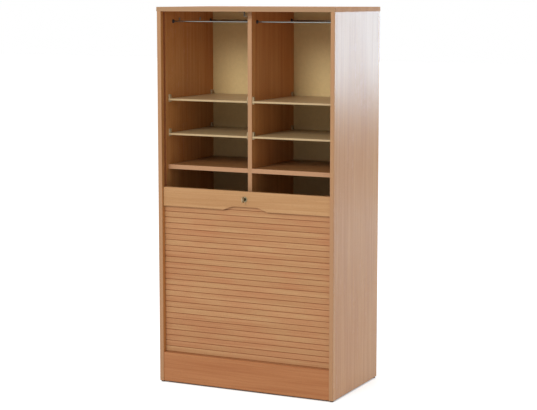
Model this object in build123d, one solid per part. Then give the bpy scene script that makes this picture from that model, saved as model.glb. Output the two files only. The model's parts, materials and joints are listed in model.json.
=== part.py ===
from build123d import *
import math
import os

# Roll front cabinet: a melamine-faced board carcass in two bays, with a slatted curtain that
# closes upwards from behind the plinth to a lock strike under the top.
# Millimetres, +X to the right, +Y to the back, +Z up, origin at the bottom centre of the
# whole object, key included. "Depth" below means the distance behind the carcass front plane.

# ---- Carcass -------------------------------------------------------------------------------
WIDTH = 800.0              # over the top panel
DEPTH = 465.0              # carcass front plane to back
HEIGHT = 1570.0            # floor to top
BOARD = 18.0               # panel thickness
TOP_OVERHANG = 2.5         # top panel past each side
EDGE_ROUND = 1.5           # rounding of the front edges
GLIDE_HEIGHT = 6.0         # nail-on glide under the sides
GLIDE_RADIUS = 8.0
GLIDE_INSET = 11.0         # glide centre from the front and back
GLIDE_NAIL_RADIUS = 1.5
GLIDE_NAIL_LENGTH = 14.0
PLINTH_HEIGHT = 123.0
PLINTH_SETBACK = 3.0
REAR_PANEL = 8.0
REAR_REBATE = 10.0         # how far the rear panel laps each side

# ---- Interior ------------------------------------------------------------------------------
INTERIOR_SETBACK = 56.0    # divider and shelves behind the carcass front
FLOOR_SETBACK = 44.0       # the floor panel's front edge, behind the curtain's well
FIXED_SHELF_TOP = 918.0    # top face of the fixed shelf in each bay
UPPER_SHELF_TOP = 1192.5   # top face of the thin shelf below the files
MIDDLE_SHELF_TOP = 1049.5  # top face of the second thin shelf
LOWER_SHELF_TOP = 520.0    # top face of the thin shelf behind the curtain
THIN_SHELF = 8.0
THIN_SHELF_END_GAP = 2.0   # shelf end to board face, taken up by the clip's web
THIN_SHELF_REAR_GAP = 6.0
CLIP_WIDTH = 7.0           # clip reach over the shelf, away from the board
CLIP_DEPTH = 14.0
CLIP_RISE = 17.0           # upper jaw above the shelf
CLIP_FOOT = 5.0            # lower jaw below the shelf
CLIP_WEB = 1.7
CLIP_INSET = 12.0          # clip centre from the shelf's front and back edges
PEG_RADIUS = 2.5
PEG_LENGTH = 8.0
RAIL_RADIUS = 3.0
RAIL_DROP = 41.5           # file rail centre line below the top panel
RAIL_REAR_INSET = 24.0     # rear rail's centre line to the rear panel
RAIL_SPAN = 330.0          # between the front and rear rails, for hanging files
SOCKET_RADIUS = 8.0
SOCKET_THICKNESS = 6.0
SOCKET_FLOOR = 1.5         # socket wall between the rail's end and the board

# ---- Curtain -------------------------------------------------------------------------------
SLAT_PITCH = 23.8
SLAT_GAP = 0.4
SLAT_THICKNESS = 6.5
SLAT_SETBACK = 22.0        # front face of the slats
SLAT_BEVEL = 1.3           # bevel along the slat's front edges
SLAT_END_INSERT = 6.0      # slat end past the side's inner face, in the track
SILL_GAP = 1.8             # plinth top to the lowest shown slat's lower edge
BASE_SLATS = 4             # slats waiting behind the plinth at rest
LEAD_SLATS = 7             # slats that always travel with the lead board
HIDDEN_LEAD_SLATS = 3      # those of them that lie behind the lead board
OPENING_GROUPS = 6
RESERVE_GROUPS = 7
RESERVE_LAP = 1            # reserve slats that overlap the closed curtain's lower end
LAYER_GAP = 0.6            # between the curtain and the reserve behind it
RESERVE_HEADROOM = 3.0     # least gap between the reserve's top and the lock nut at rest
GROUP_FLOOR = 12.0         # lowest point of the gathered reserve
OPEN_GAP = 3.2             # lead board above the plinth when open
CLOSE_GAP = 1.7            # lead board below the top panel when closed

# ---- Lead board ----------------------------------------------------------------------------
LEAD_HEIGHT = 79.0
LEAD_THICKNESS = 12.0
LEAD_SLAT_GAP = 0.5        # lead board's back to the slats' front
LEAD_END_GAP = 1.5         # lead board's end to the side
LEAD_EDGE = 2.0            # rounding of the lead board's front edges
NOTCH_HALF_MOUTH = 100.0   # finger notch at the lower edge
NOTCH_HALF_ROOF = 57.0
NOTCH_RISE = 16.0
NOTCH_ROUND = 60.0         # rounding where the notch's slopes meet its roof
RUNNER_LENGTH = 30.0       # track runner behind each end of the lead board
LEAD_SCREW_RADIUS = 1.75
LEAD_SCREW_LENGTH = 14.0
LEAD_SCREW_SPACING = 220.0

# ---- Track ---------------------------------------------------------------------------------
TRACK_CLEARANCE = 0.6      # slat face to track wall
TRACK_WALL = 1.5
TRACK_RECESS = 9.0         # depth let into the side
TRACK_FOOT = 9.0           # lower end of the straight run
TURN_RADIUS = 60.0         # centre line of the bend behind the plinth
REAR_TURN_RADIUS = 35.0
BASE_RUN_HEIGHT = 22.0     # centre line of the run along the base
REAR_TURN_INSET = 9.0      # rear turn's outer wall to the rear panel
RETURN_END_DEPTH = 112.0   # front end of the return run under the floor

# ---- Lock ----------------------------------------------------------------------------------
LOCK_BELOW_TOP = 31.6      # cylinder axis below the lead board's top edge
BARREL_RADIUS = 9.5
BARREL_FLANGE_RADIUS = 11.5
BARREL_FLANGE = 1.5
BARREL_PAST_SLATS = 5.0    # barrel behind the slats
NUT_ACROSS = 25.0
NUT_THICKNESS = 4.0
PLUG_RADIUS = 6.5
PLUG_CLEARANCE = 0.05
PLUG_TAIL = 3.0            # plug behind the barrel, under the cam
KEYWAY_WIDTH = 2.6
KEYWAY_HEIGHT = 8.6
KEY_CLEARANCE = 0.3
KEY_BLADE = 19.0
KEY_NECK = 3.0             # metal neck between the plug's face and the bow
KEY_BOW_LENGTH = 22.0
KEY_BOW_HEIGHT = 26.0
KEY_BOW_THICKNESS = 2.4
KEY_RING_HOLE_RADIUS = 3.0
CAM_THICKNESS = 2.5
CAM_SHANK_LEFT = 2.0       # measured from the axis with the cam turned up
CAM_SHANK_RIGHT = 8.0
CAM_REACH = 26.0
CAM_HEAD_LEFT = 9.0
CAM_HEAD_HEIGHT = 6.0
CAM_EYE_RADIUS = 8.0
CAM_SCREW_RADIUS = 2.0
CAM_SCREW_HEAD_RADIUS = 4.0
CAM_SCREW_HEAD = 2.0
STRIKE_SHEET = 2.0
STRIKE_DEPTH = 10.0
STRIKE_LIP_CLEARANCE = 4.0  # lip top to the cam's head
STRIKE_LEG_CLEARANCE = 2.5  # leg to the cam's head
STRIKE_FLANGE = 22.0        # flange past the leg, with its two screws
STRIKE_SCREW_RADIUS = 1.5
STRIKE_SCREW_LENGTH = 10.0

# ---- Fasteners -----------------------------------------------------------------------------
HOLE_CLEARANCE = 0.1
CAM_DISC_RADIUS = 7.5
CAM_DISC_THICKNESS = 12.5
CAM_BACKSET = 34.0         # disc centre from the board's end
CAM_BOLT_RADIUS = 2.5
CAM_BOLT_BITE = 8.0        # bolt in the other board
CAM_FRONT_DEPTH = 100.0    # front cam of the floor and fixed shelves
CAM_REAR_INSET = 92.0      # their rear cam to the rear panel
TOP_CAM_FRONT_DEPTH = 160.0
TOP_CAM_REAR_INSET = 117.0
DOWEL_RADIUS = 4.0
DOWEL_HALF_LONG = 15.0     # dowel in the board's end
DOWEL_HALF_SHORT = 10.0    # dowel in the other board's face
DOWEL_FRONT_DEPTH = 66.0
DOWEL_REAR_INSET = 47.0
DIVIDER_DOWEL_INSET = 54.0 # from the divider's front and the rear panel
PLINTH_DOWEL_RISES = (34.0, 89.0)
REAR_SCREW_RADIUS = 1.75
REAR_SCREW_LENGTH = 20.0
REAR_SCREW_HEAD_RADIUS = 3.5
REAR_SCREW_HEAD = 1.6
REAR_SCREW_INSET = 115.0   # first and last screw from the panel's ends
REAR_SCREW_ROWS = 5

# ---- Places worked out from the sizes above --------------------------------------------------
side_out = WIDTH / 2 - TOP_OVERHANG
side_in = side_out - BOARD
half_divider = BOARD / 2
top_under = HEIGHT - BOARD
rear_inner_depth = DEPTH - REAR_PANEL
cam_depths = (CAM_FRONT_DEPTH, rear_inner_depth - CAM_REAR_INSET)
top_cam_depths = (TOP_CAM_FRONT_DEPTH, rear_inner_depth - TOP_CAM_REAR_INSET)
last_dowel = rear_inner_depth - DOWEL_REAR_INSET
dowel_depths = (DOWEL_FRONT_DEPTH, (DOWEL_FRONT_DEPTH + last_dowel) / 2, last_dowel)
divider_dowel_depths = (INTERIOR_SETBACK + DIVIDER_DOWEL_INSET, rear_inner_depth - DIVIDER_DOWEL_INSET)
rail_rear_depth = rear_inner_depth - RAIL_REAR_INSET
rail_front_depth = rail_rear_depth - RAIL_SPAN
plinth_top = GLIDE_HEIGHT + PLINTH_HEIGHT
plinth_back_depth = PLINTH_SETBACK + BOARD
slat_back_depth = SLAT_SETBACK + SLAT_THICKNESS
reserve_depth = slat_back_depth + LAYER_GAP
reserve_back_depth = reserve_depth + SLAT_THICKNESS
rail_height = top_under - RAIL_DROP
shown_bottom = plinth_top + SILL_GAP
# The curtain rests at the lowest place where the reserve behind it stays under the lock:
# each slat more below the lead board lifts the lock and lowers the reserve by one pitch.
reserve_top_at_none = top_under - CLOSE_GAP - LEAD_HEIGHT - (BASE_SLATS - RESERVE_LAP) * SLAT_PITCH
nut_bottom_at_none = shown_bottom + LEAD_HEIGHT - LOCK_BELOW_TOP - NUT_ACROSS / 2
shown_slats = math.ceil((reserve_top_at_none - nut_bottom_at_none + RESERVE_HEADROOM) / (2 * SLAT_PITCH))
lead_bottom = shown_bottom + shown_slats * SLAT_PITCH
lead_top = lead_bottom + LEAD_HEIGHT
lead_back_depth = SLAT_SETBACK - LEAD_SLAT_GAP
lead_front_depth = lead_back_depth - LEAD_THICKNESS
close_travel = top_under - CLOSE_GAP - lead_top
open_travel = lead_bottom - plinth_top - OPEN_GAP
base_bottom = shown_bottom - BASE_SLATS * SLAT_PITCH
lock_height = lead_top - LOCK_BELOW_TOP
barrel_front_depth = lead_front_depth - BARREL_FLANGE
barrel_back_depth = slat_back_depth + BARREL_PAST_SLATS
plug_back_depth = barrel_back_depth + PLUG_TAIL
key_proud = KEY_NECK + KEY_BOW_LENGTH - barrel_front_depth
y_front = -(DEPTH - key_proud) / 2
track_mid_depth = (SLAT_SETBACK + reserve_back_depth) / 2
track_inner_width = reserve_back_depth - SLAT_SETBACK + 2 * TRACK_CLEARANCE
track_outer_width = track_inner_width + 2 * TRACK_WALL
bay_width = side_in - half_divider
os.makedirs("parts", exist_ok=True)


def save(shape, node):
    """Write one node's STEP file."""
    shape.label = node
    export_step(shape, f"parts/{node}.step")


def block(x0, x1, d0, d1, z0, z1):
    """A box between two x, two depths and two heights."""
    centre = ((x0 + x1) / 2, y_front + (d0 + d1) / 2, (z0 + z1) / 2)
    return Pos(*centre) * Box(x1 - x0, d1 - d0, z1 - z0)


def rod(radius, start, end):
    """A cylinder between two (x, depth, z) points that lie along one axis."""
    a = Vector(start[0], y_front + start[1], start[2])
    b = Vector(end[0], y_front + end[1], end[2])
    return Solid.make_cylinder(radius, (b - a).length, Plane(origin=a, z_dir=b - a))


def group(solids):
    """Several separate solids kept in one node."""
    return Compound(children=list(solids))


def soften(solid, radius, choose):
    """Round the edges that the test picks."""
    return fillet([edge for edge in solid.edges() if choose(edge)], radius)


def at_depth(edge, depth):
    """True where a whole edge lies at one depth."""
    box = edge.bounding_box()
    y = y_front + depth
    return abs(box.min.Y - y) < 1e-3 and abs(box.max.Y - y) < 1e-3


def mirrored(solid):
    """The same solid on the other side of the cabinet."""
    return solid.mirror(Plane.YZ)


# ---- Track outline, in the depth and height plane --------------------------------------------
def ring_part(radius, width, centre, low, high):
    """The stretch of a flat ring that lies in a box, as a face."""
    ring = Circle(radius + width / 2) - Circle(radius - width / 2)
    size = (high[0] - low[0], high[1] - low[1])
    middle = ((high[0] + low[0]) / 2, (high[1] + low[1]) / 2)
    return Pos(*centre) * ring & Pos(*middle) * Rectangle(*size)


def run_part(d0, d1, z0, z1):
    """A straight stretch of the track, as a face."""
    return Pos((d0 + d1) / 2, (z0 + z1) / 2) * Rectangle(d1 - d0, z1 - z0)


def track_outline(width, foot):
    """Front run, bend behind the plinth, base run, rear turn and return run under the floor."""
    half = width / 2
    bend_d = track_mid_depth + TURN_RADIUS
    bend_z = BASE_RUN_HEIGHT + TURN_RADIUS
    turn_d = rear_inner_depth - REAR_TURN_INSET - REAR_TURN_RADIUS - track_outer_width / 2
    turn_z = BASE_RUN_HEIGHT + REAR_TURN_RADIUS
    return_z = BASE_RUN_HEIGHT + 2 * REAR_TURN_RADIUS
    reach = REAR_TURN_RADIUS + width
    face = run_part(track_mid_depth - half, track_mid_depth + half, foot, top_under)
    low = (bend_d - TURN_RADIUS - width, bend_z - TURN_RADIUS - width)
    face += ring_part(TURN_RADIUS, width, (bend_d, bend_z), low, (bend_d, bend_z))
    face += run_part(bend_d, turn_d, BASE_RUN_HEIGHT - half, BASE_RUN_HEIGHT + half)
    low = (turn_d, turn_z - reach)
    high = (turn_d + reach, turn_z + reach)
    face += ring_part(REAR_TURN_RADIUS, width, (turn_d, turn_z), low, high)
    face += run_part(RETURN_END_DEPTH, turn_d, return_z - half, return_z + half)
    return face


def track_solid(width, foot, x_start, x_end):
    """The track outline as a solid between two x."""
    plane = Plane(origin=(x_start, y_front, 0), x_dir=(0, 1, 0), z_dir=(1, 0, 0))
    return extrude(plane * track_outline(width, foot), x_end - x_start)


# ---- Fasteners, each as (solid, cutter) pairs -------------------------------------------------
def cam_pair(end, along, depth, z, face_z):
    """Cam disc let into a lying board's underside, with its bolt into the upright beside it."""
    x_disc = end - along * CAM_BACKSET
    disc = rod(CAM_DISC_RADIUS, (x_disc, depth, face_z), (x_disc, depth, face_z + CAM_DISC_THICKNESS))
    pocket = rod(CAM_DISC_RADIUS + HOLE_CLEARANCE, (x_disc, depth, face_z),
                 (x_disc, depth, face_z + CAM_DISC_THICKNESS + HOLE_CLEARANCE))
    start = (x_disc + along * (CAM_DISC_RADIUS + HOLE_CLEARANCE), depth, z)
    tip = (end + along * CAM_BOLT_BITE, depth, z)
    bolt = rod(CAM_BOLT_RADIUS, start, tip)
    hole = rod(CAM_BOLT_RADIUS + HOLE_CLEARANCE, (x_disc, depth, z), tip)
    return disc, bolt, pocket + hole


def top_cam_pair(side, depth):
    """Cam disc in the upright's inner face, with its bolt up into the top panel."""
    z = top_under - CAM_BACKSET
    face = side * side_in
    back = face + side * CAM_DISC_THICKNESS
    x = side * (side_in + half_divider)
    disc = rod(CAM_DISC_RADIUS, (face, depth, z), (back, depth, z))
    pocket = rod(CAM_DISC_RADIUS + HOLE_CLEARANCE, (face, depth, z), (back + side * HOLE_CLEARANCE, depth, z))
    start = (x, depth, z + CAM_DISC_RADIUS + HOLE_CLEARANCE)
    tip = (x, depth, top_under + CAM_BOLT_BITE)
    bolt = rod(CAM_BOLT_RADIUS, start, tip)
    hole = rod(CAM_BOLT_RADIUS + HOLE_CLEARANCE, (x, depth, z), tip)
    return disc, bolt, pocket + hole


def dowel_pair(start, end):
    """A dowel and its hole."""
    return rod(DOWEL_RADIUS, start, end), rod(DOWEL_RADIUS + HOLE_CLEARANCE, start, end)


# The floor panel's and fixed shelves' cams go into the sides, and the shelves' also into the divider.
floor_under = plinth_top - BOARD
shelf_under = FIXED_SHELF_TOP - BOARD
floor_cams = []
shelf_cams = {-1: [], 1: []}
top_cams = {-1: [], 1: []}
for side in (-1, 1):
    for depth in cam_depths:
        floor_cams.append(cam_pair(side * side_in, side, depth, floor_under + half_divider, floor_under))
        shelf_z = shelf_under + half_divider
        shelf_cams[side].append(cam_pair(side * side_in, side, depth, shelf_z, shelf_under))
        shelf_cams[side].append(cam_pair(side * half_divider, -side, depth, shelf_z, shelf_under))
    for depth in top_cam_depths:
        top_cams[side].append(top_cam_pair(side, depth))

side_dowels = {-1: [], 1: []}
plinth_dowels = {-1: [], 1: []}
divider_dowels = []
for side in (-1, 1):
    x = side * (side_in + half_divider)
    for depth in dowel_depths:
        low = (x, depth, top_under - DOWEL_HALF_LONG)
        high = (x, depth, top_under + DOWEL_HALF_SHORT)
        side_dowels[side].append(dowel_pair(low, high))
    for rise in PLINTH_DOWEL_RISES:
        z = GLIDE_HEIGHT + rise
        inner = (side * (side_in - DOWEL_HALF_LONG), PLINTH_SETBACK + BOARD / 2, z)
        outer = (side * (side_in + DOWEL_HALF_SHORT), PLINTH_SETBACK + BOARD / 2, z)
        plinth_dowels[side].append(dowel_pair(inner, outer))
for depth in divider_dowel_depths:
    divider_dowels.append(dowel_pair((0, depth, top_under - DOWEL_HALF_LONG),
                                     (0, depth, top_under + DOWEL_HALF_SHORT)))
    divider_dowels.append(dowel_pair((0, depth, plinth_top - DOWEL_HALF_SHORT),
                                     (0, depth, plinth_top + DOWEL_HALF_LONG)))


# ---- Thin shelves, their clips and the pegs' holes ---------------------------------------------
thin_shelf_tops = {"upper": UPPER_SHELF_TOP, "middle": MIDDLE_SHELF_TOP, "lower": LOWER_SHELF_TOP}
shelf_front = INTERIOR_SETBACK
shelf_rear = rear_inner_depth - THIN_SHELF_REAR_GAP
clip_depths = (shelf_front + CLIP_INSET, shelf_rear - CLIP_INSET)


def shelf_clip(face, inward, depth, top):
    """A clip that holds one shelf corner, its peg in the board at x = face."""
    d0 = depth - CLIP_DEPTH / 2
    d1 = depth + CLIP_DEPTH / 2
    web_end = face + inward * CLIP_WEB
    reach = face + inward * CLIP_WIDTH
    low = top - THIN_SHELF - CLIP_FOOT
    web = block(min(face, web_end), max(face, web_end), d0, d1, low, top + CLIP_RISE)
    foot = block(min(face, reach), max(face, reach), d0, d1, low, top - THIN_SHELF)
    post = block(min(face, reach), max(face, reach), d0, d1, top, top + CLIP_RISE)
    peg = rod(PEG_RADIUS, (web_end, depth, top - THIN_SHELF / 2), peg_tip(face, inward, depth, top))
    return web + foot + post + peg


def peg_tip(face, inward, depth, top):
    """The end of a clip's peg inside the board."""
    return face - inward * PEG_LENGTH, depth, top - THIN_SHELF / 2


def peg_hole(face, inward, depth, top):
    """The peg's hole in the board."""
    return rod(PEG_RADIUS + HOLE_CLEARANCE, (face, depth, top - THIN_SHELF / 2),
               peg_tip(face, inward, depth, top))


corners = []
for top in thin_shelf_tops.values():
    for depth in clip_depths:
        for side in (-1, 1):
            corners.append((side * side_in, -side, depth, top))
            corners.append((side * half_divider, side, depth, top))
save(group(shelf_clip(*corner) for corner in corners), "shelf_clips")

for side, word in ((-1, "left"), (1, "right")):
    near = side * (half_divider + THIN_SHELF_END_GAP)
    far = side * (side_in - THIN_SHELF_END_GAP)
    for name, top in thin_shelf_tops.items():
        shelf = block(min(near, far), max(near, far), shelf_front, shelf_rear, top - THIN_SHELF, top)
        shelf = soften(shelf, EDGE_ROUND, lambda edge: at_depth(edge, shelf_front) and edge.length > BOARD)
        save(shelf, f"{name}_shelf_{word}")


# ---- File rails --------------------------------------------------------------------------------
sockets = []
for side, word in ((-1, "left"), (1, "right")):
    for place, depth in (("front", rail_front_depth), ("rear", rail_rear_depth)):
        ends = (side * half_divider, side * side_in)
        inner = ends[0] + side * SOCKET_FLOOR
        outer = ends[1] - side * SOCKET_FLOOR
        rail = rod(RAIL_RADIUS, (inner, depth, rail_height), (outer, depth, rail_height))
        save(rail, f"{place}_rail_{word}")
        for face, inward in ((ends[0], side), (ends[1], -side)):
            mouth = (face + inward * SOCKET_THICKNESS, depth, rail_height)
            cup = rod(SOCKET_RADIUS, (face, depth, rail_height), mouth)
            seat_floor = (face + inward * SOCKET_FLOOR, depth, rail_height)
            seat = rod(RAIL_RADIUS + HOLE_CLEARANCE, seat_floor, mouth)
            sockets.append(cup - seat)
save(group(sockets), "rail_sockets")


# ---- Rear panel and its screws -------------------------------------------------------------------
rear_half = side_in + REAR_REBATE
screw_span = top_under - GLIDE_HEIGHT - 2 * REAR_SCREW_INSET
screw_heights = [GLIDE_HEIGHT + REAR_SCREW_INSET + screw_span * k / (REAR_SCREW_ROWS - 1)
                 for k in range(REAR_SCREW_ROWS)]


def rear_screw(x, z):
    """A countersunk screw through the rear panel."""
    shank = rod(REAR_SCREW_RADIUS, (x, DEPTH - REAR_SCREW_LENGTH, z), (x, DEPTH - REAR_SCREW_HEAD, z))
    return shank + rod(REAR_SCREW_HEAD_RADIUS, (x, DEPTH - REAR_SCREW_HEAD, z), (x, DEPTH, z))


rear_screw_xs = (-side_in - REAR_REBATE / 2, 0, side_in + REAR_REBATE / 2)
rear_screws = {x: [rear_screw(x, z) for z in screw_heights if x or z > plinth_top] for x in rear_screw_xs}
all_rear_screws = [screw for column in rear_screws.values() for screw in column]
rear_panel = block(-rear_half, rear_half, rear_inner_depth, DEPTH, GLIDE_HEIGHT, top_under)
save(rear_panel - all_rear_screws, "rear_panel")
save(group(all_rear_screws), "rear_screws")


# ---- Sides, tracks and glides ---------------------------------------------------------------------
def glide(x, depth):
    """A nail-on glide under a side."""
    foot = rod(GLIDE_RADIUS, (x, depth, 0), (x, depth, GLIDE_HEIGHT))
    nail_tip = (x, depth, GLIDE_HEIGHT + GLIDE_NAIL_LENGTH)
    return foot + rod(GLIDE_NAIL_RADIUS, (x, depth, GLIDE_HEIGHT), nail_tip)


track_foot_inner = TRACK_FOOT + TRACK_WALL
track_shell = track_solid(track_outer_width, TRACK_FOOT, side_in, side_in + TRACK_RECESS)
track_slot = track_solid(track_inner_width, track_foot_inner, side_in, side_in + TRACK_RECESS - TRACK_WALL)
track_right = track_shell - track_slot
save(track_right, "track_right")
save(mirrored(track_right), "track_left")

glides = []
for side, word in ((-1, "left"), (1, "right")):
    x_low = min(side * side_in, side * side_out)
    panel = block(x_low, x_low + BOARD, 0, DEPTH, GLIDE_HEIGHT, top_under)
    panel = soften(panel, EDGE_ROUND, lambda edge: at_depth(edge, 0) and edge.length > WIDTH)
    x_edge = side * side_in
    x_rebate = side * rear_half
    rebate = block(min(x_edge, x_rebate), max(x_edge, x_rebate), rear_inner_depth, DEPTH,
                   GLIDE_HEIGHT, top_under)
    groove = track_shell if side > 0 else mirrored(track_shell)
    pair = [glide(side * (side_in + half_divider), depth) for depth in (GLIDE_INSET, DEPTH - GLIDE_INSET)]
    cuts = [rebate, groove] + pair
    cuts += [pocket for _, _, pocket in floor_cams + shelf_cams[side] + top_cams[side]]
    cuts += [hole for _, hole in side_dowels[side] + plinth_dowels[side]]
    cuts += [peg_hole(*corner) for corner in corners if corner[0] == side * side_in]
    cuts += rear_screws[side * (side_in + REAR_REBATE / 2)]
    save(panel - cuts, f"side_{word}")
    glides += pair
save(group(glides), "glides")


# ---- Lying boards and the divider ------------------------------------------------------------------
floor_panel = block(-side_in, side_in, FLOOR_SETBACK, rear_inner_depth, floor_under, plinth_top)
floor_cuts = [pocket for _, _, pocket in floor_cams] + [hole for _, hole in divider_dowels]
save(floor_panel - floor_cuts, "floor_panel")

for side, word in ((-1, "left"), (1, "right")):
    near = side * half_divider
    far = side * side_in
    shelf = block(min(near, far), max(near, far), INTERIOR_SETBACK, rear_inner_depth,
                  shelf_under, FIXED_SHELF_TOP)
    save(shelf - [pocket for _, _, pocket in shelf_cams[side]], f"fixed_shelf_{word}")

divider = block(-half_divider, half_divider, INTERIOR_SETBACK, rear_inner_depth, plinth_top, top_under)
divider_cuts = [pocket for _, _, pocket in shelf_cams[-1] + shelf_cams[1]]
divider_cuts += [hole for _, hole in divider_dowels] + rear_screws[0]
divider_cuts += [peg_hole(*corner) for corner in corners if abs(corner[0]) == half_divider]
save(divider - divider_cuts, "divider")

plinth = block(-side_in, side_in, PLINTH_SETBACK, plinth_back_depth, GLIDE_HEIGHT, plinth_top)
plinth = soften(plinth, EDGE_ROUND, lambda edge: at_depth(edge, PLINTH_SETBACK) and edge.length > WIDTH / 2)
save(plinth - [hole for _, hole in plinth_dowels[-1] + plinth_dowels[1]], "plinth")


# ---- Curtain slats -----------------------------------------------------------------------------------
def slat(bottom, front_depth):
    """One slat: a bar with bevelled front edges, its ends in the tracks."""
    half = side_in + SLAT_END_INSERT
    z0 = bottom + SLAT_GAP / 2
    z1 = bottom + SLAT_PITCH - SLAT_GAP / 2
    y0 = y_front + front_depth
    y1 = y0 + SLAT_THICKNESS
    outline = [(y0 + SLAT_BEVEL, z0), (y1, z0), (y1, z1), (y0 + SLAT_BEVEL, z1)]
    outline += [(y0, z1 - SLAT_BEVEL), (y0, z0 + SLAT_BEVEL)]
    plane = Plane(origin=(-half, 0, 0), x_dir=(0, 1, 0), z_dir=(1, 0, 0))
    return extrude(plane * make_face(Polyline(*outline, close=True)), 2 * half)


def slats(bottom, count, front_depth):
    """A stack of separate slats."""
    return [slat(bottom + k * SLAT_PITCH, front_depth) for k in range(count)]


lead_slats_bottom = lead_bottom - (LEAD_SLATS - HIDDEN_LEAD_SLATS) * SLAT_PITCH
opening_count = shown_slats - (LEAD_SLATS - HIDDEN_LEAD_SLATS)
per_opening_group = math.ceil(opening_count / OPENING_GROUPS)
left_over = opening_count
for number in range(1, OPENING_GROUPS + 1):
    count = min(per_opening_group, left_over - (OPENING_GROUPS - number))
    left_over -= count
    save(group(slats(shown_bottom + left_over * SLAT_PITCH, count, SLAT_SETBACK)), f"curtain_slats_{number}")
save(group(slats(base_bottom, BASE_SLATS, SLAT_SETBACK)), "base_slats")

reserve_top = base_bottom + close_travel + RESERVE_LAP * SLAT_PITCH
reserve_count = math.ceil((reserve_top - plinth_top) / SLAT_PITCH)
per_reserve_group = math.ceil(reserve_count / RESERVE_GROUPS)
left_over = reserve_count
for number in range(1, RESERVE_GROUPS + 1):
    count = min(per_reserve_group, left_over - (RESERVE_GROUPS - number))
    bottom = reserve_top - (reserve_count - left_over + count) * SLAT_PITCH
    left_over -= count
    save(group(slats(bottom, count, reserve_depth)), f"reserve_slats_{number}")


# ---- Lead board, its end blocks and screws --------------------------------------------------------------
def notch_cutter():
    """The finger notch: a trapezoid under the lead board, with round inner corners."""
    corner_points = [(-NOTCH_HALF_MOUTH, 0), (-NOTCH_HALF_ROOF, NOTCH_RISE), (NOTCH_HALF_ROOF, NOTCH_RISE),
                     (NOTCH_HALF_MOUTH, 0), (NOTCH_HALF_MOUTH, -NOTCH_RISE), (-NOTCH_HALF_MOUTH, -NOTCH_RISE)]
    plane = Plane(origin=(0, y_front + lead_front_depth, lead_bottom), x_dir=(1, 0, 0), z_dir=(0, -1, 0))
    face = make_face(Polyline(*corner_points, close=True))
    roof = [v for v in face.vertices() if abs(v.Y - NOTCH_RISE) < 1e-6]
    return extrude(plane * fillet(roof, NOTCH_ROUND), LEAD_THICKNESS, both=True)


def lead_edge(edge):
    """The lead board's long front edges."""
    return at_depth(edge, lead_front_depth) and edge.length > WIDTH / 2


lead_half = side_in - LEAD_END_GAP
lead_body = block(-lead_half, lead_half, lead_front_depth, lead_back_depth, lead_bottom, lead_top)
lead_body = soften(lead_body, LEAD_EDGE, lead_edge)
cap_bottom = lead_bottom + HIDDEN_LEAD_SLATS * SLAT_PITCH + SLAT_GAP / 2
lead_body += block(-lead_half, lead_half, lead_back_depth, slat_back_depth, cap_bottom, lead_top)
lead_body -= notch_cutter()
lead_bore = rod(BARREL_RADIUS + HOLE_CLEARANCE, (0, lead_front_depth, lock_height),
                (0, slat_back_depth, lock_height))
lead_screw_z = lead_bottom + (HIDDEN_LEAD_SLATS - 0.5) * SLAT_PITCH
lead_screws = []
for k in (-1.5, -0.5, 0.5, 1.5):
    x = k * LEAD_SCREW_SPACING
    tip_depth = slat_back_depth - LEAD_SCREW_LENGTH
    lead_screws.append(rod(LEAD_SCREW_RADIUS, (x, tip_depth, lead_screw_z),
                           (x, slat_back_depth, lead_screw_z)))
save(lead_body - [lead_bore] - lead_screws, "lead_board")
save(group(lead_screws), "lead_screws")

lead_slat_solids = slats(lead_slats_bottom, LEAD_SLATS, SLAT_SETBACK)
save(group(bar - [lead_bore] - lead_screws for bar in lead_slat_solids), "lead_slats")

runners = []
for side in (-1, 1):
    x_start = side * (lead_half - RUNNER_LENGTH)
    x_end = side * (side_in + SLAT_END_INSERT)
    runner = block(min(x_start, x_end), max(x_start, x_end), slat_back_depth, reserve_back_depth,
                   cap_bottom, lead_top)
    runners.append(runner)
save(group(runners), "lead_end_runners")


# ---- Lock: barrel, nut, plug, cam and key ---------------------------------------------------------------
def at_lock(depth_start, depth_end, radius):
    """A cylinder on the lock's axis."""
    return rod(radius, (0, depth_start, lock_height), (0, depth_end, lock_height))


barrel = at_lock(barrel_front_depth, lead_front_depth, BARREL_FLANGE_RADIUS)
barrel += at_lock(lead_front_depth, barrel_back_depth, BARREL_RADIUS)
barrel -= at_lock(barrel_front_depth, barrel_back_depth, PLUG_RADIUS + PLUG_CLEARANCE)
save(barrel, "lock_barrel")

nut_plane = Plane(origin=(0, y_front + slat_back_depth, lock_height), x_dir=(1, 0, 0), z_dir=(0, 1, 0))
nut_outline = RegularPolygon(NUT_ACROSS / 2, 6, major_radius=False) - Circle(BARREL_RADIUS + HOLE_CLEARANCE)
save(extrude(nut_plane * nut_outline, NUT_THICKNESS), "lock_nut")

keyway_end = barrel_front_depth + KEY_BLADE + KEY_CLEARANCE
keyway = block(-KEYWAY_WIDTH / 2, KEYWAY_WIDTH / 2, barrel_front_depth, keyway_end,
               lock_height - KEYWAY_HEIGHT / 2, lock_height + KEYWAY_HEIGHT / 2)
cam_screw_start = plug_back_depth - CAM_SCREW_RADIUS * 4
cam_screw = at_lock(cam_screw_start, plug_back_depth, CAM_SCREW_RADIUS)
cam_screw += at_lock(plug_back_depth, plug_back_depth + CAM_SCREW_HEAD, CAM_SCREW_HEAD_RADIUS)
plug = at_lock(barrel_front_depth, plug_back_depth, PLUG_RADIUS) - keyway - cam_screw
save(plug, "lock_plug")
save(cam_screw, "cam_screw")

cam_front = barrel_back_depth + PLUG_CLEARANCE
cam_back = cam_front + CAM_THICKNESS


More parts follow.
